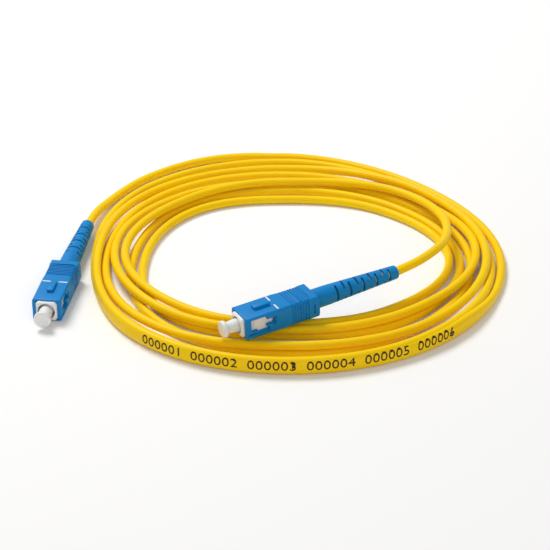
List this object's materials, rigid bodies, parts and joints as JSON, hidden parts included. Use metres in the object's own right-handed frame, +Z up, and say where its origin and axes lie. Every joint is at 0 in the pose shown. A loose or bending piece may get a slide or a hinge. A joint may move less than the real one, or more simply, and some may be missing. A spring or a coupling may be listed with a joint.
{
  "type": "fiber optic patch cord",
  "caption": "Simplex fibre patch cord with a capped square push-pull plug at each end of a coiled, jacketed cable.",
  "frame": {"origin": "on the surface that the cord lies on, under the middle of the box that holds both plugs", "axes": "+Z up from that surface; +X to the right along the longest side of the plugs' box; +Y away from the plugs' mouths, towards the back of the coil"},
  "size_m": [0.1487, 0.1417, 0.0147],
  "materials": {
    "grip_plastic": "moulded blue plastic, satin",
    "boot_plastic": "soft blue moulded elastomer",
    "frame_plastic": "moulded white plastic",
    "cap_plastic": "soft milky plastic",
    "ceramic": "polished white zirconia ceramic",
    "nickel": "nickel-plated brass",
    "spring_steel": "stainless spring wire",
    "tube_plastic": "thin-walled fluoropolymer tube",
    "buffer_plastic": "tight buffer over the glass fibre",
    "aramid": "yellow aramid yarn",
    "jacket": "smooth yellow low-smoke jacket"
  },
  "bodies": {
    "root": {"plug_frame_a": "frame_plastic", "ferrule_spring_a": "spring_steel", "stop_ring_a": "nickel", "throat_tube_a": "tube_plastic", "buffered_fibre_a": "buffer_plastic", "aramid_yarn_a": "aramid", "crimp_sleeve_a": "nickel", "boot_a": "boot_plastic", "cable_lead_a": "jacket", "plug_frame_b": "frame_plastic", "ferrule_spring_b": "spring_steel", "stop_ring_b": "nickel", "throat_tube_b": "tube_plastic", "buffered_fibre_b": "buffer_plastic", "aramid_yarn_b": "aramid", "crimp_sleeve_b": "nickel", "boot_b": "boot_plastic", "cable_lead_b": "jacket", "cable_coil": "jacket"},
    "grip_a": {"grip_housing_a": "grip_plastic"},
    "ferrule_unit_a": {"ferrule_a": "ceramic", "ferrule_flange_a": "nickel"},
    "cap_a": {"dust_cap_a": "cap_plastic"},
    "grip_b": {"grip_housing_b": "grip_plastic"},
    "ferrule_unit_b": {"ferrule_b": "ceramic", "ferrule_flange_b": "nickel"},
    "cap_b": {"dust_cap_b": "cap_plastic"}
  },
  "joints": [
    {"name": "grip_slide_a", "type": "slide", "parent": "root", "child": "grip_a", "axis": [0.1433, 0.9897, 0], "range_m": [0, 0.0018]},
    {"name": "ferrule_slide_a", "type": "slide", "parent": "root", "child": "ferrule_unit_a", "axis": [0.1433, 0.9897, 0], "range_m": [0, 0.001], "stiffness_N_per_m": 2000, "springref_m": -0.002, "deforming": ["ferrule_spring_a"]},
    {"name": "cap_pull_a", "type": "slide", "parent": "ferrule_unit_a", "child": "cap_a", "axis": [-0.1433, -0.9897, 0], "range_m": [0, 0.012]},
    {"name": "grip_slide_b", "type": "slide", "parent": "root", "child": "grip_b", "axis": [0.8726, 0.4865, 0.0441], "range_m": [0, 0.0018]},
    {"name": "ferrule_slide_b", "type": "slide", "parent": "root", "child": "ferrule_unit_b", "axis": [0.8726, 0.4865, 0.0441], "range_m": [0, 0.001], "stiffness_N_per_m": 2000, "springref_m": -0.002, "deforming": ["ferrule_spring_b"]},
    {"name": "cap_pull_b", "type": "slide", "parent": "ferrule_unit_b", "child": "cap_b", "axis": [-0.8726, -0.4865, -0.0441], "range_m": [0, 0.012]}
  ]
}
